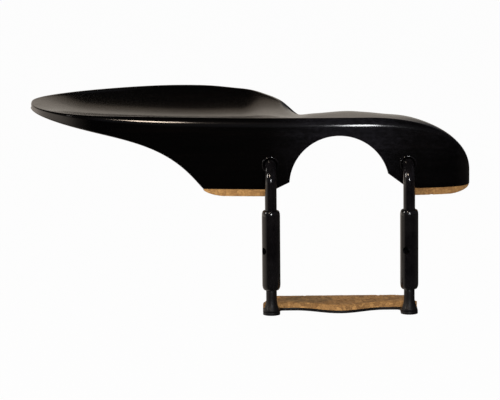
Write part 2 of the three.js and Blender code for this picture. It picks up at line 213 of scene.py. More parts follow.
# Each lamp: the way it lies from the chinrest, its width and height, its power and its colour.
lamps = {
    "lamp_left": ((-0.345, -0.705, 0.62), (78, 250), 2.5, (1.0, 0.82, 0.66)),
    "lamp_front": ((0.081, -0.967, 0.235), (110, 290), 3.0, (0.97, 0.98, 1.0)),
    "lamp_side": ((-0.9, -0.23, 0.4), (120, 290), 2.3, (1.0, 0.95, 0.9)),
}
lamp_distance = 1100.0
for name, (aim, (wide, tall), power, colour) in lamps.items():
    lamp_data = bpy.data.lights.new(name, "AREA")
    lamp_data.shape = "ELLIPSE"
    lamp_data.size = wide * MM
    lamp_data.size_y = tall * MM
    lamp_data.energy = power
    lamp_data.color = colour
    lamp = bpy.data.objects.new(name, lamp_data)
    lamp.location = Vector(aim).normalized() * lamp_distance * MM
    lamp.rotation_euler = (-lamp.location).to_track_quat("-Z", "Y").to_euler()
    lamp.visible_camera = False
    scene.collection.objects.link(lamp)


# The floor: a wide white sheet well below the chinrest, which in use is clamped to the instrument's
# edge and stands on nothing. It shows white to the camera but for the chinrest's soft shadow.
floor_level = -120.0
floor_half = 4000.0

floor_mesh = bpy.data.meshes.new("floor")
corners = [(x * floor_half * MM, y * floor_half * MM, floor_level * MM)
           for x, y in ((-1, -1), (1, -1), (1, 1), (-1, 1))]
floor_mesh.from_pydata(corners, [], [(0, 1, 2, 3)])
floor = bpy.data.objects.new("floor", floor_mesh)
scene.collection.objects.link(floor)
floor_material = bpy.data.materials.new("white_sheet")
floor_material.use_nodes = True
floor_mesh.materials.append(floor_material)
sheet = Shade(floor_material.node_tree)
floor_paint = floor_material.node_tree.nodes["Principled BSDF"]
floor_paint.inputs["Base Color"].default_value = (0.85, 0.85, 0.85, 1)
floor_paint.inputs["Roughness"].default_value = 0.9
floor_paint.inputs["Specular IOR Level"].default_value = 0.0
place = sheet.node("ShaderNodeNewGeometry", output="Position")
floor_rays = sheet.node("ShaderNodeLightPath")
# In reflections the sheet glows with painted light, brightest to the left and most of all far out, and
# hardly to the right.
left_glow = side_share(place, backdrop_facing, 0.15, 0.85) * 0.6
right_glow = side_share(place, (0.95, 0.3, 0), 0.6, 0.95) * 0.04
far_out = place.vector_maths("DISTANCE", place.stretched((1, 1, 0)), (0, 0, 0))
far_glow = far_out.between(0.74, 0.84) * side_share(place, (-0.95, 0.31, 0), 0.7, 0.95) * 0.65
least_glow = 0.01
glow = left_glow + right_glow + least_glow + far_glow
floor_seen = floor_rays.out("Is Camera Ray")
shown = floor_seen + (1 - floor_seen) * glow
# The painted glow is warm in reflections; to the camera the sheet is white.
tint = sheet.node(
    "ShaderNodeMix",
    {"data_type": "RGBA"},
    {0: floor_seen, 6: (1, 0.88, 0.77, 1), 7: (1, 1, 1, 1)},
    output=2,
)
white = sheet.node("ShaderNodeEmission", sockets={"Color": tint, "Strength": shown})
seen_white = 0.95
share = floor_seen * seen_white + floor_rays.out("Is Glossy Ray")
lit = sheet.node(
    "ShaderNodeMixShader",
    sockets={0: share, 1: Shade(sheet.tree, floor_paint.outputs[0]), 2: white},
)
lit.into(floor_material.node_tree.nodes["Material Output"].inputs["Surface"])


# The chinrest itself: one block of ebony, carved into a side cup and a bridge over the
# tailpiece, then scraped, sanded and rubbed with oil. It stands on two feet.
cup_reach = 88.0
foot_reach = 37.0
cup_depth = 64.8
front_radius = 300.0
tip_y = 35.5
end_y = 12.0
sole = 2.0
rim_height = 22.0
rim_tilt = 0.015
end_height = 5.0
fall_start = 7.6
dish_depth = 5.0
long_foot = (-38.2, -18.0)
short_foot_start = 19.3
foot_depth = 15.5
arch_radius = 14.0
arch_height = 3.1
long_bevel_top = 4.0
short_bevel_top = 6.3
tip_roundness = 2.4
tip_front_run = 24.0
tip_back_run = 14.0
end_roundness = 3.6
end_front_run = 19.0
end_back_run = 18.0
fall_power = 2.1
fall_root = 0.38
dish_inner = (-4.0, -27.0)
dish_outer = (-92.0, -72.0)
cup_edge_depth = 1.4
cup_edge_slope = 0.165
bridge_edge_share = 0.65
back_edge_depth = 2.8
front_hollow = 0.14
back_hollow = 0.45
leg_reach_left = 7.7
leg_reach_back = 5.0
leg_power = 1.08
cup_sole_share = 0.214
sole_limit_share = 0.8
halvings = 30
probe_share = 0.001

cup_back = [(-88, 46.7), (-79, 51.2), (-70, 56.8), (-61, 61.3), (-52, 64.2), (-44, 64.8),
            (-36, 63.2), (-29, 58.8), (-23, 53.7), (-17.5, 42.3), (-13, 31.5),
            (-7, 23.8), (0, 24.6), (12.2, 25.5), (25.9, 25), (37, 22)]
back_drop = [(-17.1, 0), (-14.6, 0.36), (-9.6, 2.9), (0, 2.6), (16, 3.62), (30, 5.1), (37, 5.1)]
flatness = [(-17.1, 1), (-10, 1.63), (-6, 3.67), (-1, 4.9), (3, 5.7), (7, 4.1), (12.6, 2.8),
            (19, 3.2), (25, 2.55), (37, 1.1)]


def ease(low, high, x):
    share = min(max((x - low) / (high - low), 0.0), 1.0)
    return share * share * (3 - 2 * share)


def lerp(a, b, share):
    return a + (b - a) * share


def quarter(start, end, x, roundness=2.0):
    """1 until start, then a quarter of a rounded oblong down to 0 at end."""
    share = min(max((x - start) / (end - start), 0.0), 1.0)
    return (1 - share ** roundness) ** (1 / roundness)


def through(marks, x):
    """Smooth curve through points in rising x."""
    last = len(marks) - 1
    i = 0
    while i < last - 1 and x > marks[i + 1][0]:
        i += 1

    def slope(k):
        (xa, ya), (xb, yb) = marks[max(k - 1, 0)], marks[min(k + 1, last)]
        return (yb - ya) / (xb - xa)

    (x0, y0), (x1, y1) = marks[i], marks[i + 1]
    span = x1 - x0
    t = min(max((x - x0) / span, 0.0), 1.0)
    bow = (1 - t) * slope(i) - t * slope(i + 1)
    return lerp(y0, y1, t * t * (3 - 2 * t)) + span * t * (1 - t) * bow


def front_y(x):
    tip = quarter(-cup_reach + tip_front_run, -cup_reach, x, tip_roundness)
    end = quarter(foot_reach - end_front_run, foot_reach, x, end_roundness)
    sweep = x * x / (2 * front_radius)
    if x < 0:
        return tip_y - (tip_y - sweep) * tip
    return end_y - (end_y - sweep) * end


def back_y(x):
    tip = quarter(-cup_reach + tip_back_run, -cup_reach, x, tip_roundness)
    end = quarter(foot_reach - end_back_run, foot_reach, x, end_roundness)
    if x < 0:
        return tip_y + (through(cup_back, x) - tip_y) * tip
    return end_y + (through(cup_back, x) - end_y) * end


def end_fall(x):
    """1 along the cup and the bridge, falling to 0 round the short foot's shoulder."""
    share = min(max((x - fall_start) / (foot_reach - fall_start), 0.0), 1.0)
    return (1 - share ** fall_power) ** fall_root


def front_rim(x):
    fall = end_fall(x)
    return end_height + (rim_height - end_height) * fall + rim_tilt * front_y(x)


def back_rim(x):
    fall = end_fall(x)
    drop = through(back_drop, x)
    return end_height + (rim_height - end_height) * fall + rim_tilt * back_y(x) - drop * fall


def dish(x):
    width = (back_y(x) - front_y(x)) / cup_depth
    return dish_depth * width * width * ease(*dish_inner, x) * ease(*dish_outer, x)


def arch_z(x):
    long_top = -math.sqrt(arch_radius ** 2 - (long_bevel_top - arch_height) ** 2)
    short_top = math.sqrt(arch_radius ** 2 - (short_bevel_top - arch_height) ** 2)
    if x <= long_foot[1] or x >= short_foot_start:
        return sole
    if x < long_top:
        return lerp(sole, long_bevel_top, (x - long_foot[1]) / (long_top - long_foot[1]))
    if x > short_top:
        return lerp(short_bevel_top, sole, (x - short_top) / (short_foot_start - short_top))
    return arch_height + math.sqrt(arch_radius ** 2 - x * x)


def belly_z(x, y):
    front = front_y(x)
    width = back_y(x) - front
    t = min(max((y - front) / width, 0.0), 1.0) if width > 0 else 0.0
    cup_edge = front_rim(x) - cup_edge_depth - cup_edge_slope * (min(x, long_foot[0]) + cup_reach)
    bridge_edge = sole + (front_rim(x) - sole) * bridge_edge_share
    front_low = lerp(cup_edge, bridge_edge, ease(*long_foot, x))
    back_thick = lerp(cup_edge_depth, back_edge_depth, ease(-cup_reach, -cup_reach + tip_back_run, x))
    base = lerp(front_low, back_rim(x) - back_thick, t * t * (3 - 2 * t))
    base -= width * t * (1 - t) * ((1 - t) * front_hollow + t * back_hollow)
    aside = max(0.0, long_foot[0] - x) / leg_reach_left
    beyond = max(0.0, y - foot_depth) / leg_reach_back
    return base - (base - sole) * math.exp(-math.hypot(aside, beyond) ** leg_power)


def underside(x, y):
    return max(belly_z(x, y), arch_z(x))


def sole_back(x):
    """Where the sole or the arch ends, going back, and the free underside begins."""
    front, back = front_y(x), back_y(x)
    if x < long_foot[0]:
        return lerp(front, back, cup_sole_share)
    far = lerp(front, back, sole_limit_share)
    near = min(foot_depth, far)
    for _ in range(halvings):
        middle = (near + far) / 2
        if belly_z(x, middle) > arch_z(x):
            far = middle
        else:
            near = middle
    return near


def inward(outline, x, side):
    """Level direction from the outline into the wood; side is 1 at the front and -1 at the back."""
    if x <= -cup_reach:
        return 1.0, 0.0
    if x >= foot_reach:
        return -1.0, 0.0
    step = min(1.0, x + cup_reach, foot_reach - x) * probe_share
    slope = (outline(x + step) - outline(x - step)) / (2 * step)
    size = math.hypot(slope, 1)
    return -side * slope / size, side / size


def steps(low, high, count, bunch=lambda s: s):
    return [low + (high - low) * bunch(k / count) for k in range(count + 1)]


def towards_start(share):
    return 1 - math.cos(share * math.pi / 2)


def towards_end(share):
    return math.sin(share * math.pi / 2)


# Stations along the wood, closest together at its two ends and over the arch.
tip_zone_end = -64.0
arch_from = math.acos((long_bevel_top - arch_height) / arch_radius)
arch_to = math.acos((short_bevel_top - arch_height) / arch_radius)
arch_places = [arch_radius * math.sin(angle) for angle in steps(-arch_from, arch_to, 60)]
wood_places = (
    steps(-cup_reach, tip_zone_end, 30, towards_start)
    + steps(tip_zone_end, long_foot[0], 26)[1:]
    + steps(long_foot[0], long_foot[1], 30)[1:]
    + steps(long_foot[1], arch_places[0], 6)[1:]
    + arch_places[1:]
    + steps(arch_places[-1], short_foot_start, 8)[1:]
    + steps(short_foot_start, foot_reach, 34, towards_end)[1:]
)
lower_edge = [(x, underside(x, front_y(x))) for x in wood_places]
edge_inset = 1.9
edge_drop = 2.6
edge_tip_share = 0.15
edge_tip_run = 44.0
edge_end_share = 0.5
edge_end_run = 26.0
edge_wall_share = 0.6
edge_round = 0.45
edge_round_share = 0.3
rim_blend = 1.3
rim_rows = 9
wall_rows = 10
top_rows = 48
belly_rows = 26
sole_rows = 8
lower_rows = 4


def across_edge(i):
    """Direction in the front face, from the lower edge into the wood."""
    (xa, za), (xb, zb) = lower_edge[max(i - 1, 0)], lower_edge[min(i + 1, len(lower_edge) - 1)]
    size = math.hypot(xb - xa, zb - za)
    return -(zb - za) / size, (xb - xa) / size


def rim_edge(i, side):
    """Rows over the rounded rim, down the wall and round the lower edge, at station i."""
    x = wood_places[i]
    outline = front_y if side > 0 else back_y
    rim = front_rim(x) if side > 0 else back_rim(x)
    y = outline(x)
    low = underside(x, y)
    size = lerp(edge_tip_share, 1, ease(-cup_reach, -cup_reach + edge_tip_run, x))
    size *= lerp(edge_end_share, 1, ease(foot_reach, foot_reach - edge_end_run, x))
    inset = edge_inset * size
    drop = min(edge_drop * size, edge_wall_share * (rim - low))
    nx, ny = inward(outline, x, side)
    rows = []
    for k in range(rim_rows + 1):
        angle = k / rim_rows * math.pi / 2
        inside = inset * (1 - math.sin(angle))
        rows.append((x + nx * inside, y + ny * inside, rim - drop * (1 - math.cos(angle))))
    turn = min(edge_round, edge_round_share * (rim - drop - low))
    ux, uz = across_edge(i) if side > 0 else (0.0, 1.0)
    foot_x = x + ux * turn
    wall_foot = (foot_x, outline(min(max(foot_x, -cup_reach), foot_reach)), low + uz * turn)
    for k in range(1, wall_rows):
        rows.append(tuple(lerp(a, b, k / wall_rows) for a, b in zip(rows[rim_rows], wall_foot)))
    for k in range(lower_rows + 1):
        angle = k / lower_rows * math.pi / 2
        lift = turn * (1 - math.sin(angle))
        back = turn * (1 - math.cos(angle))
        rows.append((x + ux * lift, wall_foot[1] + side * back, low + uz * lift))
    return rows


def wood_ring(i):
    """One closed section of the wood at station i: top, back edge, underside, front edge."""
    x = wood_places[i]
    front = rim_edge(i, 1)
    back = rim_edge(i, -1)
    span = math.hypot(back[0][0] - front[0][0], back[0][1] - front[0][1])
    rows = []
    for k in range(top_rows):
        t = (1 - math.cos(k / top_rows * math.pi)) / 2
        edge = min(t, 1 - t) * span / rim_blend
        sunk = dish(x) * 4 * t * (1 - t) * (1 - math.exp(-edge * edge))
        fallen = t ** max(1.0, through(flatness, x))
        rows.append((
            lerp(front[0][0], back[0][0], t),
            lerp(front[0][1], back[0][1], t),
            lerp(front[0][2], back[0][2], fallen) - sunk,
        ))
    rows += back
    b, f = back[-1][1], front[-1][1]
    split = min(max(sole_back(x), f), b)
    for k in range(1, belly_rows + 1):
        y = lerp(b, split, k / belly_rows)
        rows.append((x, y, underside(x, y)))
    for k in range(1, sole_rows):
        y = lerp(split, f, k / sole_rows)
        rows.append((x, y, underside(x, y)))
    return rows + front[::-1][:-1]


def loft(rings):
    """Quads through rings of equal count."""
    count = len(rings[0])
    faces = []
    for i in range(len(rings) - 1):
        for j in range(count):
            a = i * count + j
            b = i * count + (j + 1) % count
            faces.append((a, a + count, b + count, b))
    return [p for ring in rings for p in ring], faces


def solid(name, points, faces, sharp=40):
    """A closed mesh from points in millimetres, its edges sharp where they turn hard."""
    mesh = bpy.data.meshes.new(name)
    mesh.from_pydata([Vector(p) * MM for p in points], [], faces)
    work = bmesh.new()
    work.from_mesh(mesh)
    bmesh.ops.remove_doubles(work, verts=work.verts, dist=1e-7)
    bmesh.ops.dissolve_degenerate(work, edges=work.edges, dist=1e-8)
    bmesh.ops.recalc_face_normals(work, faces=work.faces)
    work.to_mesh(mesh)
    work.free()
    mesh.shade_smooth()
    mesh.set_sharp_from_angle(angle=math.radians(sharp))
    piece = bpy.data.objects.new(name, mesh)
    scene.collection.objects.link(piece)
    return piece


def drilled(piece, cutters, sharp=40):
    """The piece with each cutter taken away, and the cutters removed."""
    for cutter in cutters:
        cut = piece.modifiers.new("cut", "BOOLEAN")
        cut.operation = "DIFFERENCE"
        cut.solver = "EXACT"
        cut.object = cutter
    bpy.context.view_layer.update()
    ready = piece.evaluated_get(bpy.context.evaluated_depsgraph_get())
    mesh = bpy.data.meshes.new_from_object(ready)
    piece.modifiers.clear()
    piece.data = mesh
    mesh.shade_smooth()
    mesh.set_sharp_from_angle(angle=math.radians(sharp))
    for cutter in cutters:
        bpy.data.objects.remove(cutter)
    return piece


def turned(name, profile, sides=64, centre=(0, 0), sharp=40):
    """A solid of revolution about Z from a closed profile of (radius, height)."""
    rings = []
    for k in range(sides + 1):
        angle = (k % sides) / sides * 2 * math.pi
        c, s = math.cos(angle), math.sin(angle)
        rings.append([(centre[0] + r * c, centre[1] + r * s, z) for r, z in profile])
    return solid(name, *loft(rings), sharp=sharp)


def put(piece, material, body, slot, *nodes):
    """Gives a piece its finish and its body, and hides the solids that it stands for."""
    piece.data.materials.clear()
    piece.data.materials.append(material)
    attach(piece, body)
    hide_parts(*nodes)
    return piece


def finish_of(name):
    """A new material, the start of its nodes, and its shader's sockets."""
    material = bpy.data.materials.new(name)
    material.use_nodes = True
    nodes = Shade(material.node_tree)
    return material, nodes, material.node_tree.nodes["Principled BSDF"].inputs


ebony, wood_nodes, wood_sockets = finish_of("oiled_ebony")
spot = wood_nodes.node("ShaderNodeTexCoord", output="Object")
streaks = wood_nodes.noise(spot.stretched((22, 190, 620)), 1.0, 5.0, 0.6)
fibres = wood_nodes.noise(spot.stretched((160, 2200, 3800)), 1.0, 3.0, 0.55)
sides = wood_nodes.node("ShaderNodeSeparateXYZ", sockets={0: spot})
# The front face over the arch gets a faint blue-grey sheen painted into its colour, mottled and brighter
# higher up, and its polish is dulled at the tip.
mottle = wood_nodes.noise(spot.stretched((700, 1000, 1000)), 1.0, 5.0, 0.75)
painted_sheen = sides.out("X").between(-0.023, 0.003, 0.0, 1.8) * sides.out("X").between(0.006, 0.022, 1.0, 0.2)
painted_sheen = painted_sheen * sides.out("Z").between(0.004, 0.019, 0.35, 1.0) * mottle.between(0.4, 0.72, 0.45, 1.5)
tones = wood_nodes.node(
    "ShaderNodeValToRGB",
    {"stops": [(0.3, (0.0001, 0.0001, 0.0001)), (0.55, (0.0004, 0.0002, 0.0002)),
               (0.8, (0.0016, 0.0008, 0.0006))]},
    {"Fac": streaks},
)
# The painted sheen is mixed over the streaked ebony tones.
ebony_and_painted_sheen = tones.blend((0.0075, 0.0072, 0.0095), painted_sheen * streaks.between(0.2, 0.7, 0.3, 0.9))
ebony_and_painted_sheen.into(wood_sockets["Base Color"])
roughness = fibres.between(0.25, 0.8, 0.4, 0.5) + streaks.between(0.2, 0.8, -0.03, 0.06)
roughness.into(wood_sockets["Roughness"])
wood_sockets["Specular IOR Level"].default_value = 0.02
normal = wood_nodes.node("ShaderNodeNewGeometry", output="Normal")
slant = normal.vector_maths("DOT_PRODUCT", normal, (-0.557, -0.752, 0.353))
dulled = slant.between(0.93, 0.98) * sides.out("X").between(-0.07, -0.055, 0.9, 0.0)
polish = (0.85 - fibres.between(0.55, 0.75) * 0.3) * (1 - dulled)
polish.into(wood_sockets["Coat Weight"])
wood_sockets["Coat Roughness"].default_value = 0.1
wood_sockets["Coat IOR"].default_value = 1.48
wood_nodes.bump(0.12, 0.00006, fibres * 0.6 + streaks * 0.4).into(wood_sockets["Normal"])

wood = solid("chinrest_wood", *loft([wood_ring(i) for i in range(len(wood_places))]))
column_x = 19.3
hook_height = 9.0
sleeve_radius = 2.4
drill_gap = 0.05
drill_depth = 11.6
drill_start = -1
drills = []
for side in (-1, 1):
    x = side * column_x
    mouth = front_y(x)
    wide = sleeve_radius + drill_gap
    rod = [(0, drill_start), (wide, drill_start), (wide, drill_depth), (0, drill_depth)]
    drill = turned("drill", rod)
    drill.data.transform(
        Matrix.Translation(Vector((x, mouth, hook_height)) * MM) @ Matrix.Rotation(-math.pi / 2, 4, "X")
    )
    drills.append(drill)
drilled(wood, drills)
put(wood, ebony, "rest", "black_wood", "chinrest_body")


# The foot corks: 2 mm sheet cork, cut to each foot's outline, glued on and rounded off at the
# outer end, where the block doesn't touch the instrument.
cork_inset = 0.2
cork_end_gap = 0.3
end_fall_run = 5.6
end_fall_height = 1.8
end_fall_power = 1.55
corner_radius = 0.2
grain_rate = 1.9
grain_depth = 0.05
pit_rate = 0.9
pit_place = Vector((7, 3, 1))
pit_range = (0.28, 0.5)
pit_depth = 0.14
edge_share = 0.04
glue_margin = 0.02


def grown(point, low, high, depth, pits):
    """A cork surface point drawn in by its grain, and by a pit here and there."""
    p = Vector(point)
    rough = depth * (0.5 + 0.5 * noise.noise(p * grain_rate))
    pit = pits * ease(*pit_range, noise.noise(p * pit_rate + pit_place))
    middle = (Vector(low) + Vector(high)) / 2
    half = (Vector(high) - Vector(low)) / 2
    pull = Vector([(c - m) / h for c, m, h in zip(p, middle, half)])
    strongest = max(abs(c) for c in pull)
    out = Vector([c if abs(c) > strongest - edge_share else 0.0 for c in pull])
    return p - out.normalized() * (rough + pit) if out.length > 0 else p


def rounded_section(near, far, low, top, radius, across, tall):
    """A section in Y and Z with rounded lower corners, as (y, z) points."""
    points = [(y, top) for y in steps(near, far, across)[:-1]]
    points += [(far, z) for z in steps(top, low + radius, tall)[:-1]]
    for k in range(4):
        angle = k / 4 * math.pi / 2
        points.append((far - radius * (1 - math.cos(angle)), low + radius * (1 - math.sin(angle))))
    points += [(y, low) for y in steps(far - radius, near + radius, across)[:-1]]
    for k in range(4):
        angle = k / 4 * math.pi / 2
        points.append((near + radius * (1 - math.sin(angle)), low + radius * (1 - math.cos(angle))))
    points += [(near, z) for z in steps(low + radius, top, tall)[:-1]]
    return points


def closed_ends(rings, steps_in=5):
    """Rings with each end closed by rings that shrink to its middle."""
    def cap(ring):
        middle = [sum(c) / len(ring) for c in zip(*ring)]
        return [[tuple(lerp(c, m, (k + 1) / steps_in) for c, m in zip(p, middle)) for p in ring]
                for k in range(steps_in)]
    return cap(rings[0])[::-1] + rings + cap(rings[-1])


def cork_finish(name, pale, middling, dark, cell, dark_patch):
    """Agglomerated cork: pale and brown grains in a darker bond, with black specks and a darker, tinted
    patch.
    """
    material, nodes, sockets = finish_of(name)
    spot = nodes.node("ShaderNodeTexCoord", output="Object")
    warp = nodes.noise(spot, 900.0, 2.0, output="Color")
    warp_sockets = {0: warp, 1: (0.0006,) * 3, 2: spot}
    warped = spot.node("ShaderNodeVectorMath", {"operation": "MULTIPLY_ADD"}, warp_sockets)
    cells = {"Vector": warped, "Scale": 1 / (cell * MM), "Randomness": 1.0}
    grains = nodes.node("ShaderNodeTexVoronoi", {"feature": "F1"}, cells)
    shade_of = nodes.node("ShaderNodeSeparateColor", sockets={0: grains.out("Color")})
    bond = nodes.node("ShaderNodeTexVoronoi", {"feature": "DISTANCE_TO_EDGE"}, cells)
    fine = nodes.noise(spot, 5200.0, 3.0, 0.7)
    wide = nodes.noise(spot, 260.0, 2.0)
    base = nodes.node(
        "ShaderNodeValToRGB",
        {"stops": [(0.0, dark), (0.18, middling), (0.75, pale), (1.0, pale)]},
        {"Fac": shade_of.out("Red") * 0.55 + wide * 0.4 + fine * 0.25 - 0.1},
    )
    seam = bond.between(0.0, 0.09, 0.45, 0.0)
    speck = fine.between(0.66, 0.74) * shade_of.out("Green").between(0.6, 0.8)
    coloured = base.blend(dark, seam).blend((0.035, 0.018, 0.008), speck * 0.8)
    # A darker patch: the colour is multiplied by a tone, fading out towards the patch's edges.
    centre, reach, tone, depth = dark_patch
    ends = {0: warped, 1: Vector(centre) * MM}
    away = nodes.node("ShaderNodeVectorMath", {"operation": "SUBTRACT"}, ends)
    away = away.stretched([1 / (r * MM) for r in reach])
    far_off = away.vector_maths("DISTANCE", away, (0, 0, 0))
    patch_share = (far_off + wide * 0.5 + fine * 0.2).between(1.1, 1.6, depth, 0.0)
    coloured.blend(tone, patch_share, "MULTIPLY").into(sockets["Base Color"])
    fine.between(0.2, 0.8, 0.75, 0.95).into(sockets["Roughness"])
    sockets["Specular IOR Level"].default_value = 0.25
    nodes.bump(0.5, 0.00012, bond.between(0, 0.25) * 0.6 + fine * 0.5 - speck).into(sockets["Normal"])
    return material


# The patch makes the right foot's cork darker all over.
foot_cork = cork_finish(
    "foot_cork", (0.5, 0.277, 0.097), (0.33, 0.17, 0.058), (0.12, 0.053, 0.018), 0.85,
    dark_patch=((28, 8, 1), (13, 14, 8), (0.78, 0.76, 0.74), 1.0),
)
soles = {"left": (long_foot[1], long_foot[0]), "right": (short_foot_start, foot_reach - cork_end_gap)}
for side, (inner, outer) in soles.items():
    flat_end = outer - math.copysign(end_fall_run, outer - inner)
    places = steps(inner, flat_end, 44) + steps(flat_end, outer, 16, towards_end)[1:]
    rings = []
    for x in places:
        low = end_fall_height * (1 - quarter(flat_end, outer, x, end_fall_power))
        near = front_y(x) + cork_inset
        far = min(foot_depth, back_y(x)) - cork_inset
        section = rounded_section(near, far, low, sole, corner_radius, 38, 5)
        rings.append([(x, y, z) for y, z in section])
    low_corner, high_corner = (tuple(c / MM for c in corner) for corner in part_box(f"{side}_foot_cork"))
    points, faces = loft(closed_ends(rings))
    for k, p in enumerate(points):
        if p[2] <= sole - glue_margin:
            points[k] = tuple(grown(p, low_corner, high_corner, grain_depth, pit_depth))
    pad = solid(f"{side}_foot_cork_sheet", points, faces, sharp=60)
    put(pad, foot_cork, "rest", "foot_cork", f"{side}_foot_cork")


# The sleeves: threaded steel bushes screwed into the front face, one round each hook's leg,
# with a rim that stands a little proud of the wood.
blacked, steel_nodes, steel_sockets = finish_of("black_plated_steel")
spot = steel_nodes.node("ShaderNodeTexCoord", output="Object")
patches = steel_nodes.noise(spot, 210.0, 4.0, 0.6)
fine = steel_nodes.noise(spot.stretched((900, 900, 5200)), 1.0, 3.0)
plating = steel_nodes.node(
    "ShaderNodeValToRGB",
    {"stops": [(0.35, (0.0022, 0.0019, 0.0024)), (0.7, (0.0055, 0.0048, 0.0054))]},
    {"Fac": patches},
)
plating.into(steel_sockets["Base Color"])
roughness = patches.between(0.3, 0.7, 0.09, 0.13) + fine.between(0.3, 0.8, 0.0, 0.02)
roughness.into(steel_sockets["Roughness"])
steel_sockets["Metallic"].default_value = 0.0
steel_sockets["Specular IOR Level"].default_value = 0.6
steel_nodes.bump(0.05, 0.00001, fine * 0.3 + patches * 0.7).into(steel_sockets["Normal"])

hook_radius = 1.65
sleeve_length = 10.0
sleeve_proud = 0.3
sleeve_rim = 0.2
thread_room = 0.25
bore = hook_radius + thread_room
for side, sign in (("left", -1), ("right", 1)):
    x = sign * column_x
    mouth = sleeve_length + sleeve_proud
    profile = [(bore, 0), (sleeve_radius, 0), (sleeve_radius, mouth - sleeve_rim)]
    for angle in steps(0, math.pi / 2, 4)[1:]:
        profile.append((
            sleeve_radius - sleeve_rim * (1 - math.cos(angle)),
            mouth - sleeve_rim * (1 - math.sin(angle)),
        ))
    profile += [(bore + sleeve_rim, mouth), (bore, mouth - sleeve_rim)]
    sleeve = turned(f"{side}_hook_sleeve", profile, sides=48)
    sleeve.data.transform(
        Matrix.Translation(Vector((x, front_y(x) + sleeve_length, hook_height)) * MM)
        @ Matrix.Rotation(math.pi / 2, 4, "X")
    )
    put(sleeve, blacked, "rest", "black_steel", f"{side}_hook_insert")


# The hooks: 3.3 mm steel rod, bent to a right angle, screwed into the wood at the front and
# threaded at the lower end, where the barrel turns on it.
column_y = -4.8
hook_bend = 4.5
hook_depth = 11.5
hook_end = -12.6
hook_thread_top = -3.5
thread_gap = 0.1
thread_pitch = 0.5
thread_cut = 0.24
end_cut = 0.4
thread_rows = 6
rod_sides = 40


def thread(radius, top, bottom, hand, place):
    """Rings of a screw thread down a rod, shallower at its two ends."""
    rings = []
    count = round((top - bottom) / thread_pitch * thread_rows)
    for k in range(count + 1):
        z = lerp(top, bottom, k / count)
        cut = thread_cut * min(1.0, (top - z) / thread_pitch, (z - bottom) / thread_pitch + end_cut)
        ring = []
        for j in range(rod_sides):
            angle = j / rod_sides * 2 * math.pi
            turn = (z / thread_pitch + hand * j / rod_sides) % 1.0
            r = radius - cut * (1 - abs(2 * turn - 1))
            ring.append((place[0] + r * math.cos(angle), place[1] + r * math.sin(angle), z))
        rings.append(ring)
    return rings


for side, sign in (("left", -1), ("right", 1)):
    x = sign * column_x
    into = front_y(x) + hook_depth
    bend_y = column_y + hook_bend
    path = [(y, 0.0) for y in steps(into, bend_y, 12)[:-1]]
    path += [(bend_y, angle) for angle in steps(0, math.pi / 2, 48)]
    rings = []
    for y, angle in path:
        cy = y - hook_bend * math.sin(angle) if angle else y
        cz = hook_height - hook_bend * (1 - math.cos(angle))
        ring = []
        for j in range(rod_sides):
            round_it = j / rod_sides * 2 * math.pi
            aside, above = hook_radius * math.cos(round_it), hook_radius * math.sin(round_it)
            ring.append((x + aside, cy - above * math.sin(angle), cz + above * math.cos(angle)))
        rings.append(ring)
    straight_end = hook_height - hook_bend
    for z in steps(straight_end, hook_thread_top + thread_gap, 8)[1:]:
        rings.append([(px, py, z) for px, py, _ in rings[len(path) - 1]])
    rings += thread(hook_radius, hook_thread_top, hook_end, -1, (x, column_y))
    rod = solid(f"{side}_hook_rod", *loft(closed_ends(rings, 2)), sharp=50)
    put(rod, blacked, "rest", "black_steel", f"{side}_hook")


# The barrels: turned steel turnbuckles, bored and tapped left-handed above and right-handed
# below, with a cross hole in the middle for the key that turns them.
barrel_top = -3.0
barrel_length = 22.5
barrel_radius = 2.55
neck_radius = 1.87
neck_height = 1.6
shoulder_radius = 2.1
shoulder_height = 1.45
straight_from = 2.2
straight_to = 1.6
post_bore = 1.75
post_bore_chamfer = 0.1
hook_bore_chamfer = 0.12
key_radius = 1.0
key_reach = 4.0
key_turns = {"left": 33, "right": 66}
for side, sign in (("left", -1), ("right", 1)):
    low = barrel_top - barrel_length
    middle = barrel_top - barrel_length / 2
    profile = [(post_bore, low + post_bore_chamfer), (post_bore + post_bore_chamfer, low)]
    profile.append((neck_radius, low))
    for angle in steps(0, math.pi / 2, 6)[1:]:
        wider = (barrel_radius - neck_radius) * math.sin(angle)
        profile.append((neck_radius + wider, low + neck_height * (1 - math.cos(angle))))
    profile += [(barrel_radius, z) for z in steps(low + straight_from, barrel_top - straight_to, 10)]
    for angle in steps(0, math.pi / 2, 9):
        wider = (barrel_radius - shoulder_radius) * math.cos(angle)
        profile.append((shoulder_radius + wider, barrel_top - shoulder_height * (1 - math.sin(angle))))
    profile += [(bore + hook_bore_chamfer, barrel_top), (bore, barrel_top - hook_bore_chamfer)]
    profile += [(bore, middle), (post_bore, middle)]
    barrel = turned(f"{side}_barrel_turned", profile, sides=72, centre=(sign * column_x, column_y))
    key_profile = [(0, -key_reach), (key_radius, -key_reach), (key_radius, key_reach), (0, key_reach)]
    key = turned("key", key_profile, sides=40)
    key.data.transform(
        Matrix.Translation(Vector((sign * column_x, column_y, middle)) * MM)
        @ Matrix.Rotation(math.radians(key_turns[side]), 4, "Z")
        @ Matrix.Rotation(math.pi / 2, 4, "Y")
    )
    drilled(barrel, [key], sharp=35)
    put(barrel, blacked, f"{side}_barrel", "black_steel", f"{side}_barrel")


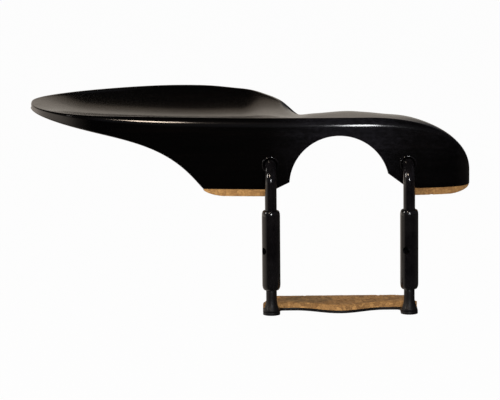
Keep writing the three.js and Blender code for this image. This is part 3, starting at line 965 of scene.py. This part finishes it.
# The posts: 3 mm steel rod, threaded where the barrel takes it, flared at the foot and riveted
# through the plate. Their blacking and the plate's is matt, and worn brown where fingers rub it.
worn, worn_nodes, worn_sockets = finish_of("worn_blacked_steel")
spot = worn_nodes.node("ShaderNodeTexCoord", output="Object")
patches = worn_nodes.noise(spot, 320.0, 4.0, 0.65)
grit = worn_nodes.noise(spot, 2600.0, 3.0, 0.7)
rubbed = worn_nodes.node(
    "ShaderNodeValToRGB",
    {"stops": [(0.35, (0.0025, 0.0021, 0.0026)), (0.6, (0.005, 0.0042, 0.0048)),
               (0.78, (0.013, 0.0098, 0.0082))]},
    {"Fac": patches * 0.75 + grit * 0.25},
)
rubbed.into(worn_sockets["Base Color"])
roughness = patches.between(0.3, 0.7, 0.5, 0.4) + grit.between(0.3, 0.8, 0.0, 0.08)
roughness.into(worn_sockets["Roughness"])
worn_sockets["Specular IOR Level"].default_value = 0.35
worn_nodes.bump(0.15, 0.00003, grit * 0.6 + patches * 0.4).into(worn_sockets["Normal"])

post_radius = 1.5
post_top = -15.6
post_thread_end = -25.6
post_shank_top = -25.8
plate_bottom = -32.5
plate_top = -31.7
flare_radius = 2.2
flare_height = 3.6
flare_rim = 0.6
foot_edge = 0.04
thread_tip_radii = (0.55, 1.1)
rivet_radius = 1.24
rivet_end = [(1.24, 0.12), (1.1, 0.02), (0.5, 0.0)]


def round_rings(centre, profile):
    """Level rings round a rod's middle, one for each (radius, height) of its profile."""
    x, y = centre
    turns = [j / rod_sides * 2 * math.pi for j in range(rod_sides)]
    return [[(x + r * math.cos(a), y + r * math.sin(a), z) for a in turns] for r, z in profile]


for side, sign in (("left", -1), ("right", 1)):
    centre = (sign * column_x, column_y)
    rings = round_rings(centre, [(radius, post_top) for radius in thread_tip_radii])
    rings += thread(post_radius, post_top, post_thread_end, 1, centre)
    profile = [(post_radius, z) for z in steps(post_shank_top, plate_top + flare_height, 6)]
    for share in steps(0, 1, 12)[1:]:
        profile.append((
            post_radius + (flare_radius - post_radius) * share * share,
            lerp(plate_top + flare_height, plate_top + flare_rim, share),
        ))
    profile += [(flare_radius, plate_top + foot_edge), (flare_radius - foot_edge, plate_top)]
    profile.append((rivet_radius, plate_top))
    profile += [(radius, plate_bottom + height) for radius, height in rivet_end]
    rings += round_rings(centre, profile)
    post = solid(f"{side}_post_rod", *loft(closed_ends(rings, 2)), sharp=60)
    put(post, worn, "clamp", "black_steel", f"{side}_post")


# The plate: 0.8 mm black steel, blanked and deburred, with an ear round each post, a front edge
# bowed forward between them and slanted sides.
ear_radius = 2.4
plate_front = 0.0
plate_back = 9.6
back_half = 18.4
plate_bow = 4.4
bow_half = 12.5
plate_corner = 1.6
ear_corner = 1.3
hole_radius = 1.3
upper_ease = 0.06
lower_round = 0.66
hard_turn = 1.2
front_half = column_x + ear_radius


def bow_y(x):
    share = min(1.0, abs(x) / bow_half)
    return plate_front - plate_bow * math.cos(share * math.pi / 2) ** 2


def bent(start, corner, end, count=8):
    """Points of a curve from start to end, drawn towards corner."""
    axes = list(zip(start, corner, end))
    return [tuple((1 - t) ** 2 * a + 2 * t * (1 - t) * b + t * t * c for a, b, c in axes)
            for t in steps(0, 1, count)]


def slanted_back(overhang):
    """The right half of the outline behind the posts, from front to back."""
    half, back = back_half + overhang, plate_back + overhang
    turn = half + (front_half - half) / (back - plate_front) * plate_corner
    corner = bent((turn, back - plate_corner), (half, back), (half - plate_corner, back))
    return [(front_half, plate_front)] + corner


def arc(cx, cy, radius, start, end, count):
    return [(cx + radius * math.cos(a), cy + radius * math.sin(a)) for a in steps(start, end, count)]


def slab(name, outline, holes, low, top):
    """A flat plate from its outline and holes, with eased upper edges and a rounded outer lower edge."""
    work = bmesh.new()
    loops = [outline] + holes
    edges = []
    for loop in loops:
        verts = [work.verts.new(Vector((x, y, top)) * MM) for x, y in loop]
        edges += [work.edges.new((verts[k], verts[(k + 1) % len(verts)])) for k in range(len(verts))]
    bmesh.ops.triangle_fill(work, edges=edges, use_beauty=True)
    face_parts = bmesh.ops.extrude_face_region(work, geom=list(work.faces))
    moved = [g for g in face_parts["geom"] if isinstance(g, bmesh.types.BMVert)]
    bmesh.ops.translate(work, verts=moved, vec=(0, 0, (low - top) * MM))
    bmesh.ops.recalc_face_normals(work, faces=work.faces)
    rims = [e for e in work.edges if len(e.link_faces) == 2 and e.calc_face_angle(0) > hard_turn
            and abs(e.verts[0].co.z - e.verts[1].co.z) < 1e-7]
    middle = (low + top) / 2 * MM
    hole_points = [Vector(p) * MM for hole in holes for p in hole]
    upper = [e for e in rims if e.verts[0].co.z > middle]
    lower = [e for e in rims if e.verts[0].co.z < middle
             and min((e.verts[0].co.xy - p).length for p in hole_points) > 0.1 * MM]
    for edges, size, rows in ((upper, upper_ease, 3), (lower, lower_round, 5)):
        bmesh.ops.bevel(
            work, geom=edges, offset=size * MM, segments=rows, profile=0.5, affect="EDGES",
            clamp_overlap=True,
        )
    mesh = bpy.data.meshes.new(name)
    work.to_mesh(mesh)
    work.free()
    mesh.shade_smooth()
    mesh.set_sharp_from_angle(angle=math.radians(50))
    piece = bpy.data.objects.new(name, mesh)
    scene.collection.objects.link(piece)
    return piece


ear_inner = column_x - ear_radius
right_half = [(x, bow_y(x)) for x in steps(0, bow_half, 24)]
ear_turn = (ear_inner, plate_front)
ear_starts = (ear_inner - ear_corner, plate_front)
ear_ends = (ear_inner, plate_front - ear_corner)
right_half += bent(ear_starts, ear_turn, ear_ends)
right_half += arc(column_x, column_y, ear_radius, -math.pi, 0, 24) + slanted_back(0)
outline = right_half + [(-x, y) for x, y in right_half[:0:-1]]
holes = [arc(x, column_y, hole_radius, 0, 2 * math.pi, 28)[:-1][::-1] for x in (-column_x, column_x)]
plate = slab("clamp_plate_blank", outline, holes, plate_bottom, plate_top)
put(plate, worn, "clamp", "black_steel", "clamp_plate")


# The clamp cork: a strip of coarser cork glued on the plate, worn and a little crushed where
# it grips the instrument's back.
cork_top = -30.1
overhang = 0.3
edge_wave = 0.55
wave_rate = 0.31
wave_row = 4.2
least_depth = 0.5
coarse_grain = 0.07
coarse_pits = 0.2
# A greyish darker patch lies on the cork's top, left of the middle.
clamp_cork = cork_finish(
    "clamp_cork", (0.48, 0.258, 0.09), (0.25, 0.127, 0.044), (0.045, 0.021, 0.009), 1.05,
    dark_patch=((-8, 4.5, -30), (6.5, 4.5, 3), (0.62, 0.7, 0.8), 0.8),
)
side_line = slanted_back(overhang)
rings = []
for x in steps(-front_half, front_half, 120):
    far = plate_back + overhang
    for (xa, ya), (xb, yb) in zip(side_line, side_line[1:]):
        if xb <= abs(x) <= xa:
            far = lerp(ya, yb, (abs(x) - xa) / (xb - xa))
    far -= edge_wave * (0.5 + 0.5 * noise.noise(Vector((x * wave_rate, wave_row, 0))))
    near = bow_y(x)
    far = max(far, near + least_depth)
    section = rounded_section(near, far, -cork_top, -plate_top, corner_radius, 30, 4)
    rings.append([(x, y, -z) for y, z in section])
low_corner, high_corner = (tuple(c / MM for c in corner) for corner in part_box("clamp_cork"))
points, faces = loft(closed_ends(rings))
for k, p in enumerate(points):
    if p[2] >= plate_top + glue_margin:
        points[k] = tuple(grown(p, low_corner, high_corner, coarse_grain, coarse_pits))
strip = solid("clamp_cork_strip", points, faces, sharp=60)
put(strip, clamp_cork, "clamp", "clamp_cork", "clamp_cork")
